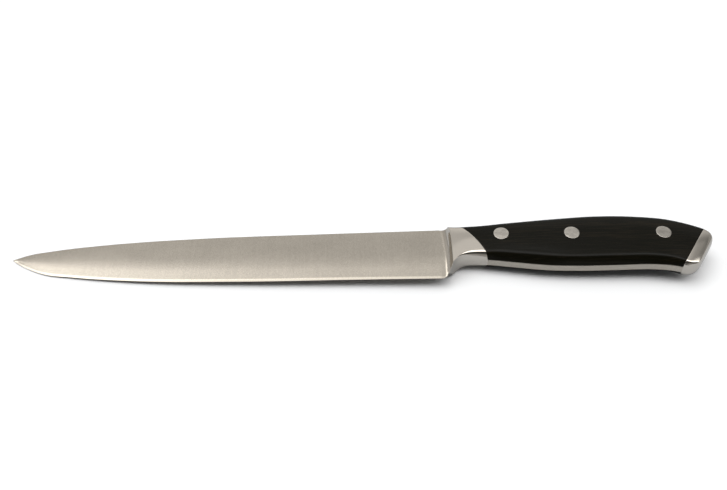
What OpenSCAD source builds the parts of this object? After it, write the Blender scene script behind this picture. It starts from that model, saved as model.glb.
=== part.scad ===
// Forged carving knife with a full tang, two riveted grip scales and an end cap, lying on its side.
// Shapes are worked out with x from the point towards the butt, y towards the spine and z out of the side.

/* [Blade] */
// Length from the point to the heel
blade_l = 200; // [180:5:220]
// Height of the spine at the heel, above the level of the point
spine_rise = 13.1; // [12:0.1:14]
// Depth of the cutting edge at the heel, below the level of the point
edge_drop = 14.7; // [13:0.1:17]
// Thickness of the blade at the heel
heel_t = 2.5; // [2:0.1:3]
// Thickness that the flat sides taper to at the point
point_t = 1.24; // [1:0.02:1.6]
// Thickness behind the sharpened bevel
behind_edge_t = 0.56; // [0.3:0.02:0.8]
// Height of the sharpened bevel
bevel_h = 0.9; // [0.6:0.1:1.4]
// Thickness left at the cutting edge itself
edge_t = 0.1; // [0.06:0.02:0.2]

/* [Bolster] */
// Distance behind the heel where the blade starts to thicken
ramp_start = 0.5; // [0.3:0.1:1]
// Distance behind the heel where the bolster has its full thickness
ramp_end = 4; // [3.6:0.1:5]
// Thickness of the bolster at its front
bolster_t = 10.6; // [9.6:0.2:11.6]

/* [Handle] */
// Thickness of the handle at its widest
handle_t = 14.8; // [13.6:0.2:16.4]
// Thickness of the handle at the butt
butt_t = 10.8; // [10:0.2:12]
// Thickness of the tang
tang_t = 3.8; // [3:0.1:4.2]
// Height of the rounded belly at the middle of the handle, from its flat edge up to the crease
belly_h = 4; // [3.2:0.1:4.2]
// Radius of the rounded edge along the top of the handle, at its middle
top_r = 3.4; // [2.6:0.1:3.6]
// Length of the end cap, square to its seam
cap_l = 6.2; // [5.6:0.1:7.6]

/* [Rivets] */
// Diameter of a rivet's head
head_d = 7; // [6:0.1:8]
// Thickness of a rivet's head
head_t = 1.6; // [1.2:0.1:2]
// Outer diameter of a rivet's sleeve
sleeve_d = 4.6; // [4:0.1:5]
// Diameter of a rivet's pin, and of the bore in its sleeve
pin_d = 2.8; // [2.2:0.1:3]

/* [Hidden] */
$fn = 48;

steel = [0.66, 0.63, 0.58];
grip = [0.12, 0.11, 0.09];
rivet_steel = [0.6, 0.58, 0.54];

// Side outlines of the blade, as shares of its length and of its height at the heel
spine_shape = [[0, 0.015], [0.03, 0.2], [0.09, 0.385], [0.22, 0.63], [0.43, 0.83], [0.72, 0.93], [1, 1]];
edge_shape = [[0, 0.01], [0.02, 0.19], [0.045, 0.37], [0.08, 0.56], [0.15, 0.71], [0.3, 0.9],
    [0.54, 0.99], [0.8, 0.99], [1, 1]];

// Side outlines of the handle: distance behind the heel, height above the level of the point
guard_line = [[0, -edge_drop], [2, -12.6], [4, -9.4], [6, -7.4], [8, -6.2], [11, -5.7]];
belly_line = [[20, -6], [32, -7.6], [47, -9.6], [62, -10.3], [80, -10.2], [94, -10.1], [103, -11.1],
    [110, -13.2], [126, -20]];
bottom_line = concat(guard_line, belly_line);
top_line = [[0, spine_rise], [4, 12.5], [14, 12.3], [32, 13.7], [52, 15.45], [72, 16.75], [90, 16.4],
    [106, 14.4], [118, 10.2], [126, 6]];

// Along the handle: half its thickness, how far its side has fallen in at the crease, the radius of
// its top edge, and the height of its rounded belly
half_line = [[0, bolster_t / 2], [8, bolster_t / 2 + 0.4], [16, bolster_t / 2 + 0.8], [32, 0.926 * handle_t / 2],
    [59, handle_t / 2], [85, 0.95 * handle_t / 2], [105, 0.84 * handle_t / 2], [126, butt_t / 2 - 0.2]];
fall_line = [[0, 0.3], [15, 0.5], [35, 1], [58, 1.3], [80, 1.1], [100, 1], [126, 0.9]];
top_r_line = [[0, 2.4], [15, 2.6], [50, top_r], [100, top_r - 0.2], [126, 2.6]];
belly_h_line = [[0, 0.05], [5, 0.25], [8, 1.1], [11, 2.2], [15, 2.6], [19, 3], [25, belly_h + 0.2],
    [33, belly_h + 0.6], [43, belly_h + 0.9], [56, belly_h], [70, belly_h + 0.4], [84, belly_h + 0.6],
    [96, belly_h + 0.8], [103, 3.9], [108, 2.2], [126, 2]];

// Share of the side's height at which the handle is widest
widest = 0.55;
// The belly's form is a sum of powers, as their shares: a slope, a curve and an eased edge at the crease
belly_form = [[0.5, 1], [0.2, 3], [0.3, 16]];
// How far the middle of the handle's top stands above its corners
crown = 0.12;
// How nearly square to the blade the hollow ramp of the bolster ends
hollow = 0.985;
// How far the ramp leans forward at the spine, and the height above which it leans
ramp_lean = 1.3;
lean_from = 5;

// Places of the sections: closer together where the outline turns
blade_stations = [0, 1, 2, 3.5, 5.5, 8, 11, 16, 20, 25, 31, 38, 46, 55, 66, 80, 96, 114, 134, blade_l - 44, blade_l - 22, blade_l - 4];
ramp_steps = 7;
bolster_shares = [0.07, 0.13, 0.2, 0.27, 0.34, 0.42, 0.5, 0.62, 0.75, 0.88, 1];
grip_steps = 20;
cap_turns = [20, 36, 50, 62, 72, 80, 86];

// Points along a section: round the top edge, down the side and round the belly
top_n = 5;
side_n = 7;
belly_n = 5;
half_n = top_n + side_n + belly_n + 3;

// The seams in the side view: ends at the top and the belly, and the front seam's bulge towards the grip
front_seam_top = [blade_l + 7.2, 13];
front_seam_low = [blade_l + 20.2, -6.2];
front_seam_bulge = 1.3;
back_seam_top = [blade_l + 120.5, 8.2];
back_seam_low = [blade_l + 106.6, -12.1];

// How much the cap's elliptical end takes off each end of its outline, and off its thickness
cap_round_top = 9;
cap_round_low = 7.5;
cap_taper = 0.07;

// Middle of each rivet: distance behind the heel, height above the level of the point
rivets = [[27, 6], [59, 5], [101, 5.2]];
// Clearance of the tang's holes round the sleeves, and of a sleeve's end from the other head
tang_hole_gap = 0.3;
sleeve_end_gap = 0.4;

// Slope between two points of a line, and at one of its points
function rise(k, j) = (k[j + 1].y - k[j].y) / (k[j + 1].x - k[j].x);
function slope(k, j) =
    j == 0 ? rise(k, 0)
    : j == len(k) - 1 ? rise(k, j - 1)
    : let (before = k[j].x - k[j - 1].x, after = k[j + 1].x - k[j].x)
        (rise(k, j - 1) * after + rise(k, j) * before) / (before + after);

function piece(k, x, j = 0) = j >= len(k) - 2 || x < k[j + 1].x ? j : piece(k, x, j + 1);

// Height at x of the smooth curve through the points k, which runs on straight past its ends
function curve(k, x) =
    let (j = piece(k, x), span = k[j + 1].x - k[j].x, t = (x - k[j].x) / span)
    t < 0 ? k[j].y + slope(k, j) * (x - k[j].x)
    : t > 1 ? k[j + 1].y + slope(k, j + 1) * (x - k[j + 1].x)
    : k[j].y * (1 + 2 * t) * (1 - t) ^ 2 + k[j + 1].y * t ^ 2 * (3 - 2 * t)
        + span * t * (1 - t) * (slope(k, j) * (1 - t) - slope(k, j + 1) * t);

function mix(a, b, t) = a * (1 - t) + b * t;

// Half of the blade's cross-section at x, from the middle of the spine to the edge, as [height, depth]
function blade_half(x) =
    let (
        share = x / blade_l,
        top = x < blade_l ? spine_rise * curve(spine_shape, share) : curve(top_line, x - blade_l),
        low = x < blade_l ? -edge_drop * curve(edge_shape, share) : curve(bottom_line, x - blade_l),
        nose = min(x / 16, 1),
        flat = mix(point_t, heel_t, share) / 2 * (0.4 + 0.6 * sin(90 * nose)),
        corner = min(0.3, 0.3 * (top - low), flat / 2),
        shoulder = low + min(bevel_h, 0.3 * (top - low)),
        grind = max(min(-share, top - corner - 0.05 * (top - low)), mix(shoulder, top - corner, 0.4)),
        behind = min(behind_edge_t / 2, 0.6 * flat)
    )
    [
        [top + 0.1 * corner, 0],
        [top + 0.07 * corner, (flat - corner) / 2],
        for (j = [0:top_n]) [top - corner + corner * cos(90 * j / top_n), flat - corner + corner * sin(90 * j / top_n)],
        for (j = [0:side_n - 1]) let (v = j / (side_n - 1))
            [mix(grind, shoulder, v), mix(flat, behind, ground(v))],
        for (j = [1:belly_n]) [mix(shoulder, low + edge_t / 2, j / belly_n), mix(behind, edge_t / 2, j / belly_n)],
        [low, 0]
    ];

// Share of the grind taken off at v of its way down: it starts softly, then runs straight to the bevel
soft = 0.4;
function ground(v) = (v < soft ? v ^ 2 / (2 * soft) : v - soft / 2) / (1 - soft / 2);

// Where the handle's side is widest at x, the radius of its dome, and half its thickness there
function side_form(x) =
    let (
        u = x - blade_l,
        top = curve(top_line, u),
        crease = curve(bottom_line, u) + curve(belly_h_line, u),
        middle = mix(crease, top, widest)
    )
    [middle, (middle - crease) ^ 2 / (2 * curve(fall_line, u)), curve(half_line, u)];
function side_z(at) =
    let (form = side_form(blade_l + at.x))
    form[2] - form[1] + sqrt(form[1] ^ 2 - (at.y - form[0]) ^ 2);

// Share of the belly's height at q of its depth out from the tang
function belly_rise(q) = [for (part = belly_form) part[0]] * [for (part = belly_form) q ^ part[1]];

// Half of the handle's cross-section at x, from the middle of its top to the middle of its belly
function handle_half(x) =
    let (
        u = x - blade_l,
        top = curve(top_line, u),
        low = curve(bottom_line, u),
        crease = low + curve(belly_h_line, u),
        form = side_form(x),
        middle = form[0],
        dome = form[1],
        sunk = form[2] - dome,
        r = curve(top_r_line, u),
        centre = sunk + sqrt((dome - r) ^ 2 - (top - r - middle) ^ 2),
        start = atan2(top - r - middle, centre - sunk),
        end = -asin((middle - crease) / dome),
        crease_z = sunk + dome * cos(end),
        flat = min(tang_t / 2, crease_z)
    )
    [
        [top + crown, 0],
        [top + 0.7 * crown, flat],
        for (j = [0:top_n]) let (a = mix(90, start, j / top_n)) [top - r + r * sin(a), centre + r * cos(a)],
        for (j = [1:side_n]) let (a = mix(start, end, j / side_n)) [middle + dome * sin(a), sunk + dome * cos(a)],
        for (j = [1:belly_n]) let (q = cos(90 * j / belly_n))
            [mix(low, crease, belly_rise(q)), mix(flat, crease_z, q)],
        [low - crown / 2, 0]
    ];

// Between the blade and the bolster the section swells along a hollow quarter ellipse
function swell(u) = (1 - sqrt(1 - (hollow * u) ^ 2)) / (1 - sqrt(1 - hollow ^ 2));
function lean(y) = ramp_lean * (max(y - lean_from, 0) / (spine_rise - lean_from)) ^ 2;
function ramp_section(u) =
    let (x = blade_l + mix(ramp_start, ramp_end, u), line = function (y) x - lean(y))
    mix(leaning(x, blade_half(x)), slice(line, line, 0), swell(u));

function upright(x, half) = [for (p = half) [x, p.x, p.y]];
function leaning(x, half) = [for (p = half) [x - lean(p.x), p.x, p.y]];

// Lines across the handle in the side view, as x at height y
ramp_line = function (y) blade_l + ramp_end - lean(y);
front_seam = function (y)
    let (
        run = front_seam_low - front_seam_top,
        chord = norm(run),
        r = (chord ^ 2 / 4 + front_seam_bulge ^ 2) / (2 * front_seam_bulge),
        out = [-run.y, run.x] / chord,
        centre = (front_seam_top + front_seam_low) / 2 - (r - front_seam_bulge) * out
    )
    centre.x + sqrt(r ^ 2 - (y - centre.y) ^ 2);
back_seam = function (y)
    mix(back_seam_low.x, back_seam_top.x, (y - back_seam_low.y) / (back_seam_top.y - back_seam_low.y));

// The handle's section on a line that lies between two such lines, found by trying x again and again
function settle(j, from, to, share, x, turns) =
    let (p = handle_half(x)[j], next = mix(from(p.x), to(p.x), share))
    turns == 0 ? [next, p.x, p.y] : settle(j, from, to, share, next, turns - 1);
function slice(from, to, share) =
    [for (j = [0:half_n]) settle(j, from, to, share, mix(from(0), to(0), share), 10)];

// Sections of the cap, which leave the back seam squarely and close in a rounded end, tighter at the top
function cap_section(seam, turn) =
    let (
        run = back_seam_top - back_seam_low,
        way = run / norm(run),
        out = cap_l * sin(turn) * [way.y, -way.x],
        cut = 1 - cos(turn),
        along = [for (p = seam) ([p.x, p.y] - back_seam_low) * way],
        low = along[half_n],
        top = along[0],
        left = (1 - sin(turn) ^ 3) ^ (1 / 3),
        top_end = top - cap_round_top * (1 - left),
        thin = (1 - cap_taper * sin(turn)) * left
    )
    [for (j = [0:half_n]) let (
            reach = mix(low + cap_round_low * cut, top_end, (along[j] - low) / (top - low)),
            p = back_seam_low + reach * way + out)
        [p.x, p.y, seam[j].z * thin]];

// A section seen from both sides, one cut down to the tang, and the part of one that is a scale's
function whole(half) = concat(half, [for (j = [half_n - 1:-1:1]) [half[j].x, half[j].y, -half[j].z]]);
function tang_only(half) = whole([for (p = half) [p.x, p.y, min(p.z, tang_t / 2)]]);
function beside_tang(half) =
    concat([for (j = [1:half_n - 1]) half[j]], [for (j = [half_n - 2:-1:2]) [half[j].x, half[j].y, tang_t / 2]]);

blade_rings = [for (x = blade_stations) whole(upright(x, blade_half(x)))];
ramp_rings = [for (j = [0:ramp_steps]) whole(ramp_section(sin(90 * j / ramp_steps)))];
bolster_rings = [for (s = bolster_shares) whole(slice(ramp_line, front_seam, s))];
grip_slices = [for (j = [0:grip_steps]) slice(front_seam, back_seam, j / grip_steps)];
cap_rings = [for (t = cap_turns) whole(cap_section(grip_slices[grip_steps], t))];

front_rings = concat(blade_rings, ramp_rings, bolster_rings);
forging_rings = concat(front_rings, [for (half = grip_slices) tang_only(half)],
    [whole(grip_slices[grip_steps])], cap_rings);

// Closed skin over rings whose points lie in pairs, j and n - j, on either side of points 0 and n / 2.
// Rings first and last are those next to the tang, which share its points with the full rings beside them.
module skin(rings, first = -1, last = -1) {
    n = len(rings[0]);
    end = len(rings) - 1;
    sharing = [0, 1, half_n - 1, half_n, half_n + 1, n - 1];
    function number(s, j) =
        let (shared = len(search(j, sharing)) > 0)
        s * n + j + (shared && s == first ? -n : shared && s == last ? n : 0);
    sides = [for (s = [0:end - 1], j = [0:n - 1])
        let (k = (j + 1) % n, a = number(s, j), b = number(s, k), c = number(s + 1, k), d = number(s + 1, j))
        each [[a, b, c], [a, c, d]]];
    caps = [for (j = [0:n / 2 - 1])
        let (a = j, b = j + 1, c = n - j - 1, d = (n - j) % n)
        each [[a, d, c], [a, c, b]]];
    ends = [for (f = caps) each [f, [f[2], f[1], f[0]] + end * n * [1, 1, 1]]];
    faces = [for (f = concat(sides, ends)) if (f[0] != f[1] && f[1] != f[2] && f[2] != f[0]) f];
    polyhedron([for (ring = rings) each ring], faces, convexity = 6);
}

// Turns the part over to its resting place: the middle of its box above the origin, its lowest side at height 0
module place() {
    points = [for (ring = forging_rings) each ring];
    thickest = max([for (half = grip_slices) each [for (p = half) p.z]]);
    low = [for (axis = [0, 1]) min([for (p = points) p[axis]])];
    high = [for (axis = [0, 1]) max([for (p = points) p[axis]])];
    translate([-(low.x + high.x) / 2, -(low.y + high.y) / 2, thickest]) children();
}

module at_rivet(at) translate([blade_l + at.x, at.y, 0]) children();

module forging() {
    color(steel) place() difference() {
        skin(forging_rings, len(front_rings), len(front_rings) + grip_steps);
        for (at = rivets) at_rivet(at)
            cylinder(h = 2 * tang_t, d = sleeve_d + 2 * tang_hole_gap, center = true);
    }
}

module scale_body() {
    color(grip) difference() {
        skin([for (half = grip_slices) beside_tang(half)]);
        for (at = rivets) at_rivet(at) {
            cylinder(h = handle_t, d = sleeve_d);
            translate([0, 0, side_z(at) - head_t]) cylinder(h = handle_t, d = head_d);
        }
    }
}
module right_scale() { place() scale_body(); }
module left_scale() { place() mirror([0, 0, 1]) scale_body(); }

// What a rivet at this place is ground down to: the handle's own surface near it
module ground_flush(at) {
    middle = top_n + 5;
    intersection() {
        children();
        skin([for (half = grip_slices) if (abs(half[middle].x - blade_l - at.x) < 2 * head_d) whole(half)]);
    }
}

// Sleeve half of a rivet: its head on the left side, its bore open towards the right
module rivet_sleeve(at) {
    seat = side_z(at) - head_t;
    color(rivet_steel) place() difference() {
        ground_flush(at) at_rivet(at) union() {
            translate([0, 0, -seat - head_t / 2])
                cylinder(h = 2 * seat + head_t / 2 - sleeve_end_gap, d = sleeve_d);
            translate([0, 0, -seat - 2 * head_t]) cylinder(h = 2 * head_t, d = head_d);
        }
        at_rivet(at) translate([0, 0, -seat]) cylinder(h = 2 * seat, d = pin_d);
    }
}
module front_rivet_sleeve() { rivet_sleeve(rivets[0]); }
module middle_rivet_sleeve() { rivet_sleeve(rivets[1]); }
module rear_rivet_sleeve() { rivet_sleeve(rivets[2]); }

// Pin half of a rivet: its head on the right side, its pin pressed into the sleeve
module rivet_pin(at) {
    seat = side_z(at) - head_t;
    color(rivet_steel) place() ground_flush(at) at_rivet(at) union() {
        translate([0, 0, sleeve_end_gap - seat]) cylinder(h = 2 * seat + head_t / 2 - sleeve_end_gap, d = pin_d);
        translate([0, 0, seat]) cylinder(h = 2 * head_t, d = head_d);
    }
}
module front_rivet_pin() { rivet_pin(rivets[0]); }
module middle_rivet_pin() { rivet_pin(rivets[1]); }
module rear_rivet_pin() { rivet_pin(rivets[2]); }

forging();
right_scale();
left_scale();
front_rivet_sleeve();
middle_rivet_sleeve();
rear_rivet_sleeve();
front_rivet_pin();
middle_rivet_pin();
rear_rivet_pin();
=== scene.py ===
"""Builds the finished look of a forged carving knife around its packed construction.

All lengths are in metres. The knife's own axes run along the blade from the point, x, towards the spine, y,
and out of the side that faces up, z. The point is at x = 0, y = 0, and the knife's middle plane is z = 0.
"""

import math

import bmesh
import bpy
import numpy as np
from bpy.props import FloatProperty, FloatVectorProperty, IntProperty, PointerProperty
from bpy.types import Operator, Panel, PropertyGroup
from mathutils import Matrix, Vector


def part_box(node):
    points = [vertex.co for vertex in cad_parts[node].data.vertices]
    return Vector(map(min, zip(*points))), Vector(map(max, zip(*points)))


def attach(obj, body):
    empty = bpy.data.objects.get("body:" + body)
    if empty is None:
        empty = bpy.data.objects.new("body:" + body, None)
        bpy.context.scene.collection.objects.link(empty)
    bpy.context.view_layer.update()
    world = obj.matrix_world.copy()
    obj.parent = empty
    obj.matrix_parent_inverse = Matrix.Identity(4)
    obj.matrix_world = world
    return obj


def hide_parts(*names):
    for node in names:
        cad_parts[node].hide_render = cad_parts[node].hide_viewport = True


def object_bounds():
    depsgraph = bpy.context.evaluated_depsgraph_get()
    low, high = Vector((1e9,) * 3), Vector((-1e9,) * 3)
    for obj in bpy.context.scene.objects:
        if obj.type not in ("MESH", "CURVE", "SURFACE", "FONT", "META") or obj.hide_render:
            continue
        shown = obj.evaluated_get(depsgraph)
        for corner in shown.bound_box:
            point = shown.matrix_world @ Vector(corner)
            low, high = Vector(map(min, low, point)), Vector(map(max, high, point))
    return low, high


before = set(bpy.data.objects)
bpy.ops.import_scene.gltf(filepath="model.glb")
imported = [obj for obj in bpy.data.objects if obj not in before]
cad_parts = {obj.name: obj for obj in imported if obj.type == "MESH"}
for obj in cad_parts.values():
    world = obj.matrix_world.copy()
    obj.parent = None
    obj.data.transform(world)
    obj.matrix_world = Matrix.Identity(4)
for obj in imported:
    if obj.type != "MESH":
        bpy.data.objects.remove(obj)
CAD_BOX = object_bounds()

bl_info = {
    "name": "Carving Knife",
    "version": (1, 0, 0),
    "blender": (4, 5, 0),
    "location": "View3D > Sidebar > Knife",
    "description": "Makes a forged carving knife with a riveted wooden grip",
    "category": "Object",
}

MM = 0.001
BODY = "root"
RIVETS = ("front", "middle", "rear")

# Numbers of sections of the ramp, the bolster and the cap, and of rings on a rivet's head and its edge
RAMP_N, BOLSTER_N, CAP_N, HEAD_RINGS, EASE_STEPS = 18, 24, 24, 8, 4
# How strongly the blade's sections crowd towards the point
CROWDING = 1.5
# Places along the knife between which its handle is tallest
TALLEST = np.linspace(0.27, 0.29, 201)
# Turn between two faces above which their edge stays sharp
SHARP = math.radians(32)
# Height from which rays look down for the handle's surface
RAY_START = 30 * MM
# Marks that a rivet's points carry while it is set, and the end of those that are ground flush
MARKS = ("seat", "end", "depth")
FLUSH = 2
# Half the width of the table, and its paint as the knife mirrors it and as the camera sees it
TABLE_HALF = 3
TABLE_MIRRORED = (0.6, 0.62, 0.65)
TABLE_SEEN = (0.985, 0.99, 0.995)
# Light that comes from everywhere in the room
EVERYWHERE = 0.06


def mm(points):
    """Points given in millimetres, in metres."""
    return np.array(points, float) * MM


# Side outlines of the blade, as shares of its length and of its height at the heel
SPINE_SHAPE = ((0, 0.015), (0.03, 0.2), (0.09, 0.385), (0.22, 0.63), (0.43, 0.83), (0.72, 0.93), (1, 1))
EDGE_SHAPE = (
    (0, 0.01), (0.02, 0.19), (0.045, 0.37), (0.08, 0.56), (0.15, 0.71), (0.3, 0.9), (0.54, 0.99),
    (0.8, 0.99), (1, 1),
)

# Outlines of the handle: distance behind the heel and height above the level of the point
BOTTOM_LINE = mm((
    (0, -14.7), (2, -12.6), (4, -9.4), (6, -7.4), (8, -6.2), (11, -5.7), (20, -6), (32, -7.6),
    (47, -9.6), (62, -10.3), (80, -10.2), (94, -10.1), (103, -11.1), (110, -13.2), (126, -20),
))
TOP_LINE = mm((
    (0, 13.1), (4, 12.5), (14, 12.3), (32, 13.7), (52, 15.45), (72, 16.75), (90, 16.4), (106, 14.4),
    (118, 10.2), (126, 6),
))

# Along the handle: half its thickness, how far its side has fallen in at the crease, the radius of its top
# edge, and the height of its rounded belly
HALF_LINE = mm(((0, 5.3), (8, 5.7), (16, 6.1), (32, 6.85), (59, 7.4), (85, 7.03), (105, 6.22), (126, 5.2)))
FALL_LINE = mm(((0, 0.3), (15, 0.5), (35, 1), (58, 1.3), (80, 1.1), (100, 1), (126, 0.9)))
TOP_R_LINE = mm(((0, 2.4), (15, 2.6), (50, 3.4), (100, 3.2), (126, 2.6)))
BELLY_H_LINE = mm((
    (0, 0.05), (5, 0.25), (8, 1.1), (11, 2.2), (15, 2.6), (19, 3), (25, 4.2), (33, 4.6), (43, 4.9),
    (56, 4), (70, 4.4), (84, 4.6), (96, 4.8), (103, 3.9), (108, 2.2), (126, 2),
))


def number(name, description, value, **options):
    """A number property."""
    return FloatProperty(name=name, description=description, default=value, **options)


def length(name, description, value):
    """A length property with its value in millimetres."""
    return number(name, description, value * MM, unit="LENGTH", precision=5)


def tint(name, description, value):
    """A colour property, in linear light."""
    options = {"subtype": "COLOR", "min": 0, "max": 1}
    return FloatVectorProperty(name=name, description=description, default=value, **options)


class BladeSizes(PropertyGroup):
    """Sizes of the blade."""

    long: length("Length", "From the point to the heel", 200)
    spine_rise: length("Spine rise", "Height of the spine at the heel, above the point", 13.1)
    edge_drop: length("Edge drop", "Depth of the cutting edge at the heel, below the point", 14.7)
    heel_t: length("Heel thickness", "Thickness of the blade at the heel", 2.5)
    point_t: length("Point thickness", "Thickness that the flat sides taper to", 1.24)
    behind_edge_t: length("Thickness behind the edge", "Thickness above the sharpened bevel", 0.56)
    bevel_h: length("Bevel height", "Height of the sharpened bevel", 0.9)
    edge_t: length("Edge thickness", "Thickness left at the cutting edge itself", 0.1)
    corner_r: length("Spine corner radius", "Radius of the spine's eased corners", 0.3)
    nose_l: length("Nose length", "Length over which the sides thin to the point", 16)
    stations: IntProperty(name="Stations", description="Sections along the blade", default=150, min=20)


class HandleSizes(PropertyGroup):
    """Sizes of the bolster, the grip and the end cap."""

    ramp_start: length("Ramp start", "Where the blade starts to thicken, behind the heel", 0.5)
    ramp_end: length("Ramp end", "Where the bolster has its full thickness, behind the heel", 4)
    tang_t: length("Tang thickness", "Thickness of the tang between the scales", 3.8)
    crown: length("Crown", "How far the middle of the handle's top stands above its corners", 0.12)
    rim: length("Rim", "Size of the eased edges along each seam", 0.14)
    bolster_edge: length("Bolster edge", "Size of the rounded edge at the front of the bolster", 0.3)
    cap_l: length("Cap length", "Length of the end cap, square to its seam", 6.2)
    cap_round_top: length("Cap top", "How far the cap's end is drawn in at its top", 9)
    cap_round_low: length("Cap heel", "How far the cap's end is drawn in at its heel", 7.5)
    stations: IntProperty(name="Stations", description="Sections along the grip", default=110, min=20)


class RivetSizes(PropertyGroup):
    """Sizes of the rivets."""

    head_t: length("Head thickness", "Thickness of a rivet's head", 1.6)
    sleeve_d: length("Sleeve diameter", "Outer diameter of a rivet's sleeve", 4.6)
    pin_d: length("Pin diameter", "Diameter of a rivet's pin", 2.8)
    tang_gap: length("Tang gap", "Clearance of the tang's holes round the sleeves", 0.3)
    end_gap: length("End gap", "Distance from a sleeve's end to the other head", 0.4)
    rim: length("Rim", "Size of the eased edge round a head", 0.16)
    sides: IntProperty(name="Sides", description="Facets round a rivet", default=72, min=12)


class Finishes(PropertyGroup):
    """Colours and polish of the steel and the wood."""

    satin: tint("Satin steel", "Colour of the blade's satin sides", (0.445, 0.405, 0.345))
    bright: tint("Polished steel", "Colour of the bolster and the end cap", (0.58, 0.535, 0.47))
    rivet: tint("Rivet steel", "Colour of the rivets' heads", (0.52, 0.485, 0.43))
    wood: tint("Wood", "Darkest colour of the grip", (0.0044, 0.004, 0.002))
    wood_streak: tint("Wood streaks", "Lighter streaks in the grip", (0.014, 0.0105, 0.0058))
    satin_roughness: number("Satin roughness", "Roughness of the blade", 0.24)
    polish_roughness: number("Polish roughness", "Roughness of the bolster and the end cap", 0.09)
    wood_roughness: number("Wood roughness", "Roughness of the grip", 0.23)


class StudioSizes(PropertyGroup):
    """Where the camera stands and looks."""

    focal: number("Focal length", "Camera lens in millimetres", 39.6)
    distance: length("Camera distance", "From the camera to the table, along its view", 380.08)
    elevation: number("Elevation", "Angle of the view above the table", math.radians(50), subtype="ANGLE")
    aim_x: length("Aim along", "Place on the table that the camera looks at, along the knife", 1.45)
    aim_y: length("Aim across", "The same place, across the knife", 8.84)


# Shapes


def curve(points, x):
    """Height at x of the smooth curve through the points, which runs on straight past its ends."""
    k = np.asarray(points, float)
    spans = np.diff(k[:, 0])
    rises = np.diff(k[:, 1]) / spans
    inner = (rises[:-1] * spans[1:] + rises[1:] * spans[:-1]) / (spans[:-1] + spans[1:])
    slopes = np.concatenate([rises[:1], inner, rises[-1:]])
    x = np.asarray(x, float)
    j = np.clip(np.searchsorted(k[:, 0], x, side="right") - 1, 0, len(spans) - 1)
    share = (x - k[j, 0]) / spans[j]
    t = np.clip(share, 0, 1)
    height = k[j, 1] * (1 + 2 * t) * (1 - t) ** 2 + k[j + 1, 1] * t**2 * (3 - 2 * t)
    height += spans[j] * t * (1 - t) * (slopes[j] * (1 - t) - slopes[j + 1] * t)
    return height + (share - t) * spans[j] * np.where(share > 1, slopes[j + 1], slopes[j])


def mix(a, b, t):
    """What lies at a share t of the way from a to b."""
    return a * (1 - t) + b * t


class SectionPlan:
    """What each point of half a section stands for, from the middle of the top to the middle of the belly.

    A section has the same points everywhere, so that the blade, the bolster and the grip join up.
    """

    KINDS = TOP, ROUND, SIDE, BELLY, KEEL = range(5)
    ROUND_N, SIDE_N, BELLY_N = 10, 22, 26
    # Points across the top and the keel: the middle, and then in rims' widths from the tang's corner
    STRIP = (-2, -1, 0, 1)

    def __init__(self):
        kinds = [(self.TOP, t) for t in self.STRIP]
        kinds += [(self.ROUND, j / self.ROUND_N) for j in range(self.ROUND_N + 1)]
        kinds += [(self.SIDE, j / self.SIDE_N) for j in range(1, self.SIDE_N + 1)]
        kinds += [(self.BELLY, j / self.BELLY_N) for j in range(1, self.BELLY_N)]
        kinds += [(self.KEEL, t) for t in reversed(self.STRIP)]
        self.kind = np.array([kind for kind, _ in kinds])
        self.share = np.array([share for _, share in kinds], float)
        self.size = len(kinds)
        self.top_edge = self.STRIP.index(0)
        self.low_edge = self.size - 1 - self.top_edge
        self.crease = int(np.flatnonzero(self.kind == self.SIDE)[-1])

    def at(self, kind):
        return self.kind == kind


PLAN = SectionPlan()


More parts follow.
